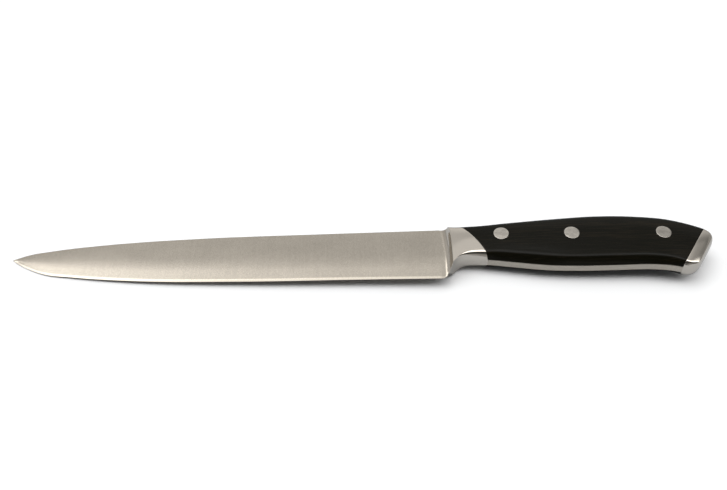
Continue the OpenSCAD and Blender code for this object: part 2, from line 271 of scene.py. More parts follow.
class Knife:
    """The surface of the knife, worked out section by section from its sizes."""

    # Share of its full thickness that the blade keeps at the point itself
    POINT_SHARE = 0.4
    # Most of the blade's height that a corner or the bevel takes up, and of its thickness behind the edge
    MOST_HEIGHT, MOST_BEHIND = 0.3, 0.6
    # How far below the point's level the grind starts at the heel
    GRIND_DROP = 1 * MM
    # Shares of the height that it stays below the spine's corner and above the bevel, and its soft share
    GRIND_BELOW, GRIND_ABOVE, GRIND_SOFT = 0.05, 0.4, 0.6
    # How far the middle of the spine stands up, as a share of its corners' radius
    SPINE_CROWN = 0.1
    # Share of the side's height at which the handle is widest
    WIDEST = 0.55
    # The belly's form is a sum of powers, as their shares: a slope, a curve and an eased edge at the crease
    BELLY_FORM = ((0.5, 1), (0.2, 3), (0.3, 16))
    # Share of the crown on top of the handle that is left at the tang's corners
    CROWN_LEFT = 0.7
    # How nearly square to the blade the hollow ramp ends, how far it leans forward, and from which height
    HOLLOW = 0.985
    RAMP_LEAN = 1.3 * MM
    LEAN_FROM = 5 * MM
    # Ends of the seams, behind the heel, the front seam's bulge, and how often a place on a line is refined
    FRONT_SEAM = mm(((7.2, 13), (20.2, -6.2)))
    FRONT_BULGE = 1.3 * MM
    BACK_SEAM = mm(((120.5, 8.2), (106.6, -12.1)))
    TURNS = 14
    # Share of its thickness that the cap loses evenly towards its end
    CAP_TAPER = 0.07

    def __init__(self, scene):
        self.blade, self.handle, self.rivets = scene.knife_blade, scene.knife_handle, scene.knife_rivets
        self.heel = np.array([self.blade.long, 0])
        self.half_tang = self.handle.tang_t / 2

        # The move that brings the knife from its own axes into the forging's box
        low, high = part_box("forging")
        crown = max(self.handle_half(x)[0, 0] for x in TALLEST)
        self.place = np.array([low.x, high.y - crown, (high.z + low.z) / 2])
        # Middles of the rivets on the knife's own axes, and the radius of their heads
        boxes = [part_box(f"{name}_rivet_pin") for name in RIVETS]
        self.middles = [((low + high) / 2)[:2] - self.place[:2] for low, high in boxes]
        self.head_r = (boxes[0][1].x - boxes[0][0].x) / 2

    def blade_half(self, x):
        """Half of the blade's section at x, as heights and depths."""
        b = self.blade
        share = x / b.long
        if x < b.long:
            top = b.spine_rise * curve(SPINE_SHAPE, share)
            low = -b.edge_drop * curve(EDGE_SHAPE, share)
        else:
            top = curve(TOP_LINE, x - b.long)
            low = curve(BOTTOM_LINE, x - b.long)
        height = top - low
        nose = math.sin(math.pi / 2 * min(x / b.nose_l, 1))
        flat = mix(b.point_t, b.heel_t, share) / 2 * mix(self.POINT_SHARE, 1, nose)
        corner = min(b.corner_r, self.MOST_HEIGHT * height, flat / 2)
        shoulder = low + min(b.bevel_h, self.MOST_HEIGHT * height)
        grind = min(-share * self.GRIND_DROP, top - corner - self.GRIND_BELOW * height)
        grind = max(grind, mix(shoulder, top - corner, self.GRIND_ABOVE))
        behind = min(b.behind_edge_t / 2, self.MOST_BEHIND * flat)
        y = np.zeros(PLAN.size)
        z = np.zeros(PLAN.size)

        kind = PLAN.at(PLAN.TOP)
        across = (PLAN.share[kind] - PLAN.share[0]) / (kind.sum() + 1)
        y[kind] = top + self.SPINE_CROWN * corner * (1 - across**2)
        z[kind] = (flat - corner) * across

        kind = PLAN.at(PLAN.ROUND)
        turn = math.pi / 2 * PLAN.share[kind]
        y[kind] = top - corner + corner * np.cos(turn)
        z[kind] = flat - corner + corner * np.sin(turn)

        kind = PLAN.at(PLAN.SIDE)
        v = (PLAN.share[kind] * PLAN.SIDE_N - 1) / (PLAN.SIDE_N - 1)
        soft = self.GRIND_SOFT
        ground = np.where(v < soft, v**2 / (2 * soft), v - soft / 2) / (1 - soft / 2)
        y[kind] = mix(grind, shoulder, v)
        z[kind] = mix(flat, behind, ground)

        bevel = PLAN.at(PLAN.BELLY) | PLAN.at(PLAN.KEEL)
        v = np.arange(1, bevel.sum() + 1) / (bevel.sum() - 1)
        v = np.minimum(v, 1)
        y[bevel] = mix(shoulder, low + b.edge_t / 2, v)
        z[bevel] = mix(behind, b.edge_t / 2, v)
        y[-1] = low
        z[-1] = 0
        return np.column_stack([y, z])

    def side_form(self, x):
        """Where the handle's side is widest at x, the radius of its dome, and half the thickness there."""
        u = x - self.blade.long
        crease = curve(BOTTOM_LINE, u) + curve(BELLY_H_LINE, u)
        middle = mix(crease, curve(TOP_LINE, u), self.WIDEST)
        return middle, (middle - crease) ** 2 / (2 * curve(FALL_LINE, u)), curve(HALF_LINE, u)

    def side_z(self, x, y):
        """Height of the handle's side above the middle plane."""
        middle, dome, half = self.side_form(x)
        return half - dome + np.sqrt(dome**2 - (y - middle) ** 2)

    def handle_half(self, x):
        """Half of the handle's section, where each of its points has its own x."""
        x = np.broadcast_to(np.asarray(x, float), (PLAN.size,))
        u = x - self.blade.long
        top = curve(TOP_LINE, u)
        low = curve(BOTTOM_LINE, u)
        crease = low + curve(BELLY_H_LINE, u)
        middle, dome, half = self.side_form(x)
        sunk = half - dome
        r = curve(TOP_R_LINE, u)
        centre = sunk + np.sqrt((dome - r) ** 2 - (top - r - middle) ** 2)
        start = np.arctan2(top - r - middle, centre - sunk)
        end = -np.arcsin((middle - crease) / dome)
        crease_z = sunk + dome * np.cos(end)
        flat = np.minimum(self.half_tang, crease_z)
        share = PLAN.share
        crown = self.handle.crown
        rim = self.handle.rim
        strip_z = np.where(share == PLAN.STRIP[0], 0, flat + share * rim)

        inside = mix(1, self.CROWN_LEFT, strip_z / flat)
        outside = self.CROWN_LEFT * (centre - strip_z) / (centre - flat)
        top_y = top + crown * np.where(share > 0, outside, inside)

        turn = mix(np.pi / 2, start, share)
        round_y = top - r + r * np.sin(turn)
        round_z = centre + r * np.cos(turn)

        turn = mix(start, end, share)
        side_y = middle + dome * np.sin(turn)
        side_z = sunk + dome * np.cos(turn)

        keel_q = np.maximum(share, 0) * rim / (crease_z - flat)
        q = np.where(PLAN.at(PLAN.KEEL), keel_q, np.cos(np.pi / 2 * share))
        belly_y = mix(low, crease, sum(part * q**power for part, power in self.BELLY_FORM))
        belly_z = mix(flat, crease_z, q)
        keel_y = np.where(share > 0, belly_y, low - crown / 2 * (1 - strip_z / flat))

        kinds = [PLAN.at(kind) for kind in PLAN.KINDS]
        y = np.select(kinds, [top_y, round_y, side_y, belly_y, keel_y])
        z = np.select(kinds, [strip_z, round_z, side_z, belly_z, strip_z])
        return np.column_stack([y, z])

    def upright(self, x):
        """Half of the blade's section at x."""
        return np.column_stack([np.full(PLAN.size, x), self.blade_half(x)])

    def lean(self, y):
        """How far forward of the heel the bolster's front leans at height y, near the spine."""
        above = np.maximum(y - self.LEAN_FROM, 0) / (self.blade.spine_rise - self.LEAN_FROM)
        return self.RAMP_LEAN * above**2

    def leaning(self, x):
        """Half of the section at x, which leans as the bolster's front does."""
        b, h = self.blade, self.handle
        ramp = np.clip((x - b.long - h.ramp_start) / (h.ramp_end - h.ramp_start), 0, 1)
        full = 1 - math.sqrt(1 - self.HOLLOW**2)
        swell = (1 - math.sqrt(1 - (self.HOLLOW * ramp) ** 2)) / full
        blade = self.upright(x)
        blade[:, 0] -= self.lean(blade[:, 1])
        return mix(blade, self.slice(lambda y: x - self.lean(y)), swell)

    def front_seam(self, y):
        """Distance along the knife of the seam between the bolster and the scales, at height y."""
        top, low = self.FRONT_SEAM + self.heel
        run = low - top
        chord = math.hypot(*run)
        r = (chord**2 / 4 + self.FRONT_BULGE**2) / (2 * self.FRONT_BULGE)
        out = np.array([-run[1], run[0]]) / chord
        centre = (top + low) / 2 - (r - self.FRONT_BULGE) * out
        return centre[0] + np.sqrt(r**2 - (y - centre[1]) ** 2)

    def back_seam(self, y):
        """The same for the straight seam between the scales and the end cap."""
        top, low = self.BACK_SEAM + self.heel
        return mix(low[0], top[0], (y - low[1]) / (top[1] - low[1]))

    def slice(self, line, to=None, share=0.0):
        """Half of the handle's section on a line, or at a share of the way from it to another line."""
        to = to or line
        x = np.full(PLAN.size, mix(line(0), to(0), share))
        for _ in range(self.TURNS):
            half = self.handle_half(x)
            x = mix(line(half[:, 0]), to(half[:, 0]), share)
        return np.column_stack([x, half])

    def cap_half(self, out):
        """Half of the end cap's section at a distance behind the back seam."""
        h = self.handle
        seam = self.slice(self.back_seam)
        foot = self.BACK_SEAM[1] + self.heel
        run = self.BACK_SEAM[0] - self.BACK_SEAM[1]
        way = run / math.hypot(*run)
        turn = min(out / h.cap_l, 1)
        # The foot closes in an ellipse, and the top and the sides in a squarer curve
        cut = 1 - math.sqrt(1 - turn**2)
        left = (1 - turn**3) ** (1 / 3)
        along = (seam[:, :2] - foot) @ way
        low, top = along[-1], along[0]
        low_end, top_end = low + h.cap_round_low * cut, top - h.cap_round_top * (1 - left)
        reach = mix(low_end, top_end, (along - low) / (top - low))
        thin = (1 - self.CAP_TAPER * turn) * left
        places = foot + reach[:, None] * way + out * np.array([way[1], -way[0]])
        return np.column_stack([places, seam[:, 2] * thin])


def whole(half):
    """Both sides of a section, from its half."""
    other = half[-2:0:-1] * (1, 1, -1)
    return np.vstack([half, other])


def sunk(half, depth):
    """A section drawn in by a depth, except for the strip that shows of the tang."""
    run = np.gradient(half[:, 1:], axis=0)
    run /= np.linalg.norm(run, axis=1)[:, None]
    inward = np.column_stack([-run[:, 1], run[:, 0]])
    moved = half.copy()
    shown = slice(PLAN.top_edge, PLAN.low_edge + 1)
    moved[shown, 1:] += depth * inward[shown]
    return moved


def rounded(before, corner, after, steps=3):
    """Sections that ease a corner, along a curve that the corner's section pulls towards itself."""
    shares = [j / steps for j in range(steps + 1)]
    return [(1 - t) ** 2 * before + 2 * t * (1 - t) * corner + t**2 * after for t in shares]


def skin(rings):
    """Faces of a closed skin over sections with as many points each, as (section, place, corners).

    The points of a section lie in pairs, j and n - j, so that the ends are closed by strips.
    """
    n = len(rings[0])
    last = (len(rings) - 1) * n
    faces = []
    for s in range(len(rings) - 1):
        for j in range(n):
            k = (j + 1) % n
            faces.append((s, j, (s * n + j, s * n + k, s * n + n + k, s * n + n + j)))
    for j in range(n // 2):
        strip = (j, (n - j) % n, n - j - 1, j + 1)
        faces.append((0, j, strip))
        faces.append((len(rings) - 2, j, tuple(last + corner for corner in reversed(strip))))
    return faces


def weld(mesh, merge):
    """Merges points that are nearly in one place, drops flattened faces and turns all faces outwards."""
    work = bmesh.new()
    work.from_mesh(mesh)
    bmesh.ops.remove_doubles(work, verts=work.verts, dist=merge)
    bmesh.ops.dissolve_degenerate(work, edges=work.edges, dist=merge / 2)
    bmesh.ops.recalc_face_normals(work, faces=work.faces)
    work.to_mesh(mesh)
    work.free()
    return mesh


def make_mesh(name, rings, materials, pick=lambda s, j: 0):
    """A closed mesh over sections. Pick tells a face's material from its section and its place."""
    mesh = bpy.data.meshes.new(name)
    faces = skin(rings)
    mesh.from_pydata(np.vstack(rings).tolist(), [], [corners for _, _, corners in faces])
    mesh.polygons.foreach_set("material_index", [pick(s, j) for s, j, _ in faces])
    for material in materials:
        mesh.materials.append(material)
    return weld(mesh, 0.002 * MM)


def add_object(data):
    """Puts a mesh or a camera into the scene, as an object of its name."""
    made = bpy.data.objects.new(data.name, data)
    bpy.context.scene.collection.objects.link(made)
    return made


def settle_mesh(made, *unused):
    """Turns an object with modifiers into one plain mesh, and removes its helpers."""
    depsgraph = bpy.context.evaluated_depsgraph_get()
    mesh = bpy.data.meshes.new_from_object(made.evaluated_get(depsgraph))
    made.modifiers.clear()
    made.data = mesh
    for helper in unused:
        bpy.data.objects.remove(helper)


def cut(made, cutters):
    """Cuts closed shapes out of an object."""
    for cutter in cutters:
        modifier = made.modifiers.new("Cut", "BOOLEAN")
        modifier.operation = "DIFFERENCE"
        modifier.solver = "EXACT"
        modifier.object = cutter
    settle_mesh(made, *cutters)


def ride(made, knife, slot, *nodes):
    """Smooths a finished piece and puts it on the knife in place of its construction nodes."""
    mesh = made.data
    mesh.polygons.foreach_set("use_smooth", [True] * len(mesh.polygons))
    mesh.set_sharp_from_angle(angle=SHARP)
    mesh.transform(Matrix.Translation(knife.place))
    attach(made, BODY)
    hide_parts(*nodes)


def rod(knife, middle, bottom, top, radius):
    """A closed round rod between two heights in a rivet's place, for a cutter."""
    work = bmesh.new()
    size = {"segments": knife.rivets.sides, "radius1": radius, "radius2": radius, "depth": top - bottom}
    matrix = Matrix.Translation((*middle, (bottom + top) / 2))
    bmesh.ops.create_cone(work, cap_ends=True, matrix=matrix, **size)
    mesh = bpy.data.meshes.new("hole")
    work.to_mesh(mesh)
    work.free()
    return add_object(mesh)


def forging_rings(knife):
    """Sections of the whole forging, with the places in their list where its regions start."""
    b, h = knife.blade, knife.handle
    rings = [whole(knife.upright(b.long * (j / b.stations) ** CROWDING)) for j in range(b.stations)]
    rings.append(whole(knife.leaning(b.long)))
    starts = {"ramp": len(rings)}

    end = b.long + h.ramp_end
    eased = end + h.bolster_edge
    turns = [math.pi / 2 * j / RAMP_N for j in range(RAMP_N)]
    ramp = [b.long + mix(h.ramp_start, h.ramp_end, math.sin(turn)) for turn in turns]
    ramp = [x for x in ramp if x < end - h.bolster_edge / 8]
    halves = [knife.leaning(x) for x in ramp[:-1]]
    halves += rounded(knife.leaning(ramp[-1]), knife.leaning(end), knife.leaning(eased), steps=5)

    def front(y):
        return eased - knife.lean(y)

    def back(y):
        return knife.front_seam(y) - h.rim

    halves += [knife.slice(front, back, j / BOLSTER_N) for j in range(1, BOLSTER_N + 1)]
    seam = knife.slice(knife.front_seam)
    halves += rounded(halves.pop(), seam, sunk(seam, h.rim))
    rings += [whole(half) for half in halves]
    starts["tang"] = len(rings)

    for j in range(h.stations + 1):
        half = knife.slice(knife.front_seam, knife.back_seam, j / h.stations)
        rings.append(whole(tang_only(knife, half)))
    starts["cap"] = len(rings)

    seam = knife.slice(knife.back_seam)
    halves = rounded(sunk(seam, h.rim), seam, knife.cap_half(h.rim))
    start = math.asin(h.rim / h.cap_l)
    turns = [mix(start, math.pi / 2, j / CAP_N) for j in range(1, CAP_N + 1)]
    halves += [knife.cap_half(h.cap_l * math.sin(turn)) for turn in turns]
    rings += [whole(half) for half in halves]
    return rings, starts


def tang_only(knife, half):
    """The part of a section that is the tang's, with eased edges beside the scales."""
    thin = half.copy()
    rim = knife.handle.rim
    inner = slice(PLAN.top_edge, PLAN.low_edge + 1)
    high, low = half[PLAN.top_edge, 1] - rim, half[PLAN.low_edge, 1] + rim
    thin[inner, 1] = np.clip(half[inner, 1], low, high)
    thin[inner, 2] = knife.half_tang
    return thin


def scale_ring(knife, half):
    """The part of a section that is a scale's: round its outside, and back along the tang."""
    outer = half[PLAN.top_edge : PLAN.low_edge + 1].copy()
    rim = knife.handle.rim
    outer[0, 1] -= rim
    outer[-1, 1] += rim
    inner = outer[-2:0:-1].copy()
    share = (inner[:, 1] - inner[:, 1].min()) / np.ptp(inner[:, 1])
    inner[:, 1] = mix(outer[-1, 1] + rim, outer[0, 1] - rim, share)
    inner[:, 2] = knife.half_tang
    return np.vstack([outer, inner])


def scale_rings(knife):
    """Sections of the right scale, from the bolster to the end cap."""
    h = knife.handle

    def front(y):
        return knife.front_seam(y) + h.rim

    def back(y):
        return knife.back_seam(y) - h.rim

    seam = knife.slice(knife.front_seam)
    halves = rounded(sunk(seam, h.rim), seam, knife.slice(front))
    halves += [knife.slice(front, back, j / h.stations) for j in range(1, h.stations)]
    seam = knife.slice(knife.back_seam)
    halves += rounded(knife.slice(back), seam, sunk(seam, h.rim))
    return [scale_ring(knife, half) for half in halves]


# Nodes


class Wire:
    """A node's socket that sums can be written with."""

    def __init__(self, graph, socket):
        self.graph = graph
        self.socket = socket

    def __add__(self, other):
        return self.graph.math("ADD", self, other)

    def __sub__(self, other):
        return self.graph.math("SUBTRACT", self, other)

    def __rsub__(self, other):
        return self.graph.math("SUBTRACT", other, self)

    def __mul__(self, other):
        return self.graph.math("MULTIPLY", self, other)

    __radd__ = __add__
    __rmul__ = __mul__


class Graph:
    """A node tree that nodes are added to."""

    def __init__(self, tree):
        self.tree = tree

    def add(self, kind, settings=(), values=(), output=0):
        """Adds a node, sets its settings, feeds its sockets and returns one of its outputs."""
        node = self.tree.nodes.new(kind)
        for key, value in dict(settings).items():
            setattr(node, key, value)
        for key, value in dict(values).items():
            socket = node.inputs[key]
            if isinstance(value, Wire):
                self.tree.links.new(value.socket, socket)
            else:
                socket.default_value = value
        return Wire(self, node.outputs[output]) if node.outputs else None

    def math(self, operation, a, b, kind="Math"):
        """One operation on two numbers or vectors."""
        return self.add(f"ShaderNode{kind}", {"operation": operation}, {0: a, 1: b})

    def parts(self, vector):
        """The numbers of a vector."""
        node = self.add("ShaderNodeSeparateXYZ", (), {"Vector": vector}).socket.node
        return [Wire(self, socket) for socket in node.outputs]

    def between(self, value, low, high, first=0.0, last=1.0):
        """A smooth step from first to last as the value goes from low to high."""
        values = {"Value": value, "From Min": low, "From Max": high, "To Min": first, "To Max": last}
        return self.add("ShaderNodeMapRange", {"interpolation_type": "SMOOTHSTEP"}, values)

    def blend(self, factor, a, b):
        """A colour between two colours."""
        values = {"Factor": factor, "A": colour(a), "B": colour(b)}
        return self.add("ShaderNodeMix", {"data_type": "RGBA"}, values, "Result")

    def tones(self, factor, paint, dark, light):
        """A colour between two shades of a paint."""
        return self.blend(factor, *([part * shade for part in paint] for shade in (dark, light)))


def colour(value):
    """A colour as a socket takes it."""
    return value if isinstance(value, Wire) else (*value, 1)


class Finish(Graph):
    """A material, built from the object's own coordinates, with its constants on the shader's sockets."""

    def __init__(self, name, constants=()):
        self.material = bpy.data.materials.new(name)
        self.material.use_nodes = True
        self.material.node_tree.nodes.clear()
        super().__init__(self.material.node_tree)
        self.place = self.add("ShaderNodeTexCoord", output="Object")
        self.constants = constants

    def noise(self, grain, detail, rough, offset=(0, 0, 0)):
        """Cloudy variation from 0 to 1, whose grains have the given sizes along x, y and z."""
        values = {"Vector": self.place, "Scale": [1 / size for size in grain], "Location": offset}
        place = self.add("ShaderNodeMapping", (), values)
        values = {"Vector": place, "Scale": 1, "Detail": detail, "Roughness": rough}
        return self.add("ShaderNodeTexNoise", (), values, output="Fac")

    def bump(self, height, strength, distance):
        """Small relief, as a normal."""
        values = {"Height": height, "Strength": strength, "Distance": distance}
        return self.add("ShaderNodeBump", (), values, output="Normal")

    def done(self, base, roughness, normal=None):
        """Ends the tree in its shader and returns the material."""
        values = {"Base Color": colour(base), "Roughness": roughness, **dict(self.constants)}
        if normal:
            values["Normal"] = normal
        shader = self.add("ShaderNodeBsdfPrincipled", (), values, output="BSDF")
        self.add("ShaderNodeOutputMaterial", (), {"Surface": shader})
        return self.material


METAL = {"Metallic": 1}


def satin_steel(finishes):
    """The blade's sides: fine lines ground across them, with a faint grain and clouds in their sheen."""
    made = Finish("satin steel", METAL)
    lines = made.noise((0.12 * MM, 7 * MM, 7 * MM), 3, 0.6)
    bands = made.noise((1.1 * MM, 30 * MM, 30 * MM), 2, 0.5, (4, 2, 1))
    clouds = made.noise((22 * MM, 9 * MM, 9 * MM), 3, 0.55)
    tone = made.between(clouds * 0.6 + bands * 0.4, 0.3, 0.7)
    grain = made.between(made.noise((0.5 * MM, 0.9 * MM, 0.9 * MM), 2, 0.6, (8, 3, 5)), 0.3, 0.7)
    base = made.tones(tone * 0.4 + grain * 0.6, finishes.satin, 0.92, 1.08)
    roughness = finishes.satin_roughness + (lines - 0.5) * 0.1 + (clouds - 0.5) * 0.05
    return made.done(base, roughness, made.bump(lines + bands * 0.3, 0.25, 0.004 * MM))


def ground_steel(finishes):
    """The sharpened bevel: fine scratches square to the edge, and a painted highlight that makes it
    brighter towards the point.
    """
    made = Finish("ground edge", METAL)
    point = CAD_BOX[0].x
    along = made.parts(made.place)[0]
    lines = made.noise((0.08 * MM, 3 * MM, 3 * MM), 2, 0.6)
    # Painted highlight: the bevel's colour runs from darker near the heel to brighter towards the point
    painted_point_highlight = made.between(along, point + 20 * MM, point + 110 * MM, 1, 0)
    base = made.tones(lines * 0.3 + painted_point_highlight * 0.7, finishes.satin, 0.6, 1.3)
    return made.done(base, 0.22 + lines * 0.12, made.bump(lines, 0.3, 0.003 * MM))


def polished_steel(finishes):
    """The bolster and the end cap: polished, with hairline scratches and a little haze.

    The satin of the blade runs out along the bolster's hollow front, in its roughness and its darker
    colour; that darker colour is also painted shade that dims the highlight there.
    """
    knife = Knife(bpy.context.scene)
    heel = knife.place[0] + knife.blade.long
    made = Finish("polished steel", METAL)
    along = made.parts(made.place)[0]
    haze = made.noise((9 * MM, 6 * MM, 6 * MM), 3, 0.5)
    hairs = made.noise((5 * MM, 0.07 * MM, 0.07 * MM), 2, 0.6, (3, 5, 7))
    shine = made.tones(haze, finishes.bright, 0.96, 1.02)
    rubbed = finishes.polish_roughness + haze * 0.03 + made.between(hairs, 0.55, 0.8) * 0.05
    # The blade's satin runs out on the hollow front; its darker colour there is also painted shade over the
    # bolster's highlight
    satin = made.between(along, heel + 1 * MM, heel + 3.2 * MM, 1, 0)
    base = made.blend(satin, shine, finishes.satin)
    roughness = satin * (finishes.satin_roughness - finishes.polish_roughness) + rubbed
    return made.done(base, roughness, made.bump(hairs, 0.06, 0.003 * MM))


def brushed_steel(finishes):
    """The strip that shows of the tang: brushed along the knife."""
    made = Finish("brushed tang", METAL)
    lines = made.noise((26 * MM, 0.16 * MM, 0.22 * MM), 3, 0.6)
    fine = made.noise((9 * MM, 0.05 * MM, 0.06 * MM), 2, 0.5, (1, 3, 2))
    tone = made.between(lines, 0.3, 0.7)
    base = made.tones(tone, finishes.satin, 0.95, 1.22)
    roughness = 0.26 + tone * 0.1 + fine * 0.06
    return made.done(base, roughness, made.bump(lines * 0.7 + fine * 0.3, 0.35, 0.02 * MM))


def rivet_steel(finishes):
    """The rivets' heads: ground flush, with fine lines across the grip."""
    made = Finish("rivet steel", METAL)
    lines = made.noise((3 * MM, 0.09 * MM, 1 * MM), 2, 0.6)
    clouds = made.noise((2.6 * MM, 1.6 * MM, 3 * MM), 2, 0.5, (2, 6, 4))
    base = made.tones(made.between(clouds, 0.35, 0.65), finishes.rivet, 0.9, 1.08)
    return made.done(base, 0.14 + lines * 0.1, made.bump(lines, 0.25, 0.006 * MM))


def dark_wood(finishes):
    """The scales: nearly black wood with long brown fibres and fine pores, rubbed to a soft sheen."""
    made = Finish("dark wood", {"Specular IOR Level": 0.11})
    fibres = made.noise((14 * MM, 0.55 * MM, 0.8 * MM), 4, 0.62)
    bands = made.noise((60 * MM, 3.2 * MM, 4 * MM), 2, 0.5, (5, 1, 3))
    pores = made.noise((1.9 * MM, 0.13 * MM, 0.16 * MM), 1, 0.5, (7, 2, 9))
    pore = made.between(pores, 0.66, 0.76)
    streaks = made.between(fibres * 0.65 + bands * 0.35, 0.46, 0.72)
    base = made.blend(streaks * (1 - pore * 0.8), finishes.wood, finishes.wood_streak)
    roughness = finishes.wood_roughness + (fibres - 0.5) * 0.16 + pore * 0.2
    height = fibres * 0.5 - pore
    return made.done(base, roughness, made.bump(height, 0.3, 0.02 * MM))


MATERIALS = {}


def material(maker):
    """The material that a function makes, made once."""
    if maker not in MATERIALS:
        MATERIALS[maker] = maker(bpy.context.scene.knife_finishes)
    return MATERIALS[maker]


# Rivets


def revolve(profile, sides):
    """A closed turned blank, from a profile of radius, height and end.

    End is 1 or -1 where a point follows that end of the rivet, or FLUSH.
    """
    mesh = bpy.data.meshes.new("blank")
    turns = [2 * math.pi * k / sides for k in range(sides)]
    points = [(r * math.cos(a), r * math.sin(a), z) for r, z, _ in profile for a in turns]
    faces = []
    for j in range(len(profile) - 1):
        for k in range(sides):
            m = (k + 1) % sides
            faces.append((j * sides + k, (j + 1) * sides + k, (j + 1) * sides + m, j * sides + m))
    mesh.from_pydata(points, [], faces)
    for key, column in (("end", 2), ("depth", 1)):
        values = np.repeat([float(row[column]) for row in profile], sides)
        mesh.attributes.new(key, "FLOAT", "POINT").data.foreach_set("value", values)
    return weld(mesh, 0.001 * MM)


def head_profile(knife):
    """The ground top of a rivet's head with its eased edge, from the middle outwards."""
    rim = knife.rivets.rim
    inner = knife.head_r - rim
    top = [(inner * j / HEAD_RINGS, 0, FLUSH) for j in range(HEAD_RINGS + 1)]
    turns = [math.pi / 2 * j / EASE_STEPS for j in range(1, EASE_STEPS + 1)]
    ease = [(inner + rim * math.sin(a), -rim * (1 - math.cos(a)), FLUSH) for a in turns]
    return top + ease


def pin_profile(knife):
    """A head with a solid shank, eased at its end."""
    rim, gap, pin = knife.rivets.rim, knife.rivets.end_gap, knife.rivets.pin_d / 2
    shank = [(knife.head_r, 0, 1), (pin, 0, 1), (pin, gap + rim, -1), (pin - rim, gap, -1), (0, gap, -1)]
    return head_profile(knife) + shank


def sleeve_profile(knife):
    """A head with a shank that is bored from its end."""
    r, gap = knife.head_r, knife.rivets.end_gap
    sleeve, bore = knife.rivets.sleeve_d / 2, knife.rivets.pin_d / 2
    shank = [(r, 0, 1), (sleeve, 0, 1), (sleeve, gap, -1), (bore, gap, -1), (bore, 0, 1), (0, 0, 1)]
    return head_profile(knife) + shank


def rivet_tree():
    """Sets a blank at each rivet's place, stretches its shank through, and grinds its head flush."""
    tree = bpy.data.node_groups.new("Set and grind rivets", "GeometryNodeTree")
    kinds = {"Geometry": "Geometry", "Blank": "Object", "Handle": "Object", "Material": "Material"}
    for name, kind in kinds.items():
        tree.interface.new_socket(name, in_out="INPUT", socket_type=f"NodeSocket{kind}")
    tree.interface.new_socket("Geometry", in_out="OUTPUT", socket_type="NodeSocketGeometry")
    graph = Graph(tree)
    given = graph.add("NodeGroupInput").socket.node
    places, blank, handle, steel = (Wire(graph, socket) for socket in given.outputs[:4])
    info = graph.add("GeometryNodeObjectInfo", (), {"Object": blank}, "Geometry")
    set_out = graph.add("GeometryNodeInstanceOnPoints", (), {"Points": places, "Instance": info})
    real = graph.add("GeometryNodeRealizeInstances", (), {"Geometry": set_out})

    named, settings = "GeometryNodeInputNamedAttribute", {"data_type": "FLOAT"}
    seat, end, depth = (graph.add(named, settings, {"Name": name}) for name in MARKS)
    way = graph.math("MINIMUM", end, 1)
    moved = graph.add("ShaderNodeCombineXYZ", (), {"Z": seat * way})
    stretched = graph.add("GeometryNodeSetPosition", (), {"Geometry": real, "Offset": moved})

    surface = graph.add("GeometryNodeObjectInfo", (), {"Object": handle}, "Geometry")
    position = graph.add("GeometryNodeInputPosition")
    foot = graph.math("MULTIPLY", position, (1, 1, 0), "VectorMath")
    above = graph.math("ADD", foot, (0, 0, RAY_START), "VectorMath")
    ray = {"Source Position": above, "Ray Direction": (0, 0, -1), "Ray Length": 2 * RAY_START}
    hit = graph.add("GeometryNodeRaycast", (), {"Target Geometry": surface, **ray}, "Hit Position")
    drop = graph.add("ShaderNodeCombineXYZ", (), {"Z": depth})
    ground = graph.math("ADD", hit, drop, "VectorMath")
    top = graph.math("GREATER_THAN", end, FLUSH - 0.5)
    values = {"Geometry": stretched, "Selection": top, "Position": ground}
    flat_top = graph.add("GeometryNodeSetPosition", (), values)
    painted = graph.add("GeometryNodeSetMaterial", (), {"Geometry": flat_top, "Material": steel})
    graph.add("NodeGroupOutput", (), {0: painted})
    return tree


# Operators


class KNIFE_OT_forging(Operator):
    """Make the blade, the bolster, the tang and the end cap, which are one forging"""

    bl_idname = "knife.forging"
    bl_label = "Make the forging"

    def execute(self, context):
        knife = Knife(context.scene)
        rings, starts = forging_rings(knife)
        half = PLAN.size - 1

        def pick(s, j):
            j = j if j < half else 2 * half - 1 - j
            if s < starts["ramp"]:
                return 1 if j >= PLAN.crease else 0
            return 3 if starts["tang"] <= s < starts["cap"] - 1 else 2

        makers = (satin_steel, ground_steel, polished_steel, brushed_steel)
        mesh = make_mesh("finished_forging", rings, [material(maker) for maker in makers], pick)
        made = add_object(mesh)
        radius = knife.rivets.sleeve_d / 2 + knife.rivets.tang_gap
        reach = knife.handle.tang_t
        cut(made, [rod(knife, middle, -reach, reach, radius) for middle in knife.middles])
        ride(made, knife, "blade_steel", "forging")
        return {"FINISHED"}


class KNIFE_OT_scales(Operator):
    """Make the two wooden scales of the grip"""

    bl_idname = "knife.scales"
    bl_label = "Make the scales"

    def execute(self, context):
        knife = Knife(context.scene)
        rings = scale_rings(knife)
        head_t, sleeve_r = knife.rivets.head_t, knife.rivets.sleeve_d / 2
        wood = material(dark_wood)
        for name, side in (("right", 1), ("left", -1)):
            mesh = make_mesh(f"finished_{name}_scale", [ring * (1, 1, side) for ring in rings], [wood])
            made = add_object(mesh)
            cutters = []
            for middle in knife.middles:
                top = knife.side_z(*middle)
                for radius, near in ((knife.head_r, top - head_t), (sleeve_r, 0)):
                    low, high = sorted((side * near, side * 2 * top))
                    cutters.append(rod(knife, middle, low, high, radius))
            cut(made, cutters)
            ride(made, knife, "grip_wood", f"{name}_scale")
        return {"FINISHED"}


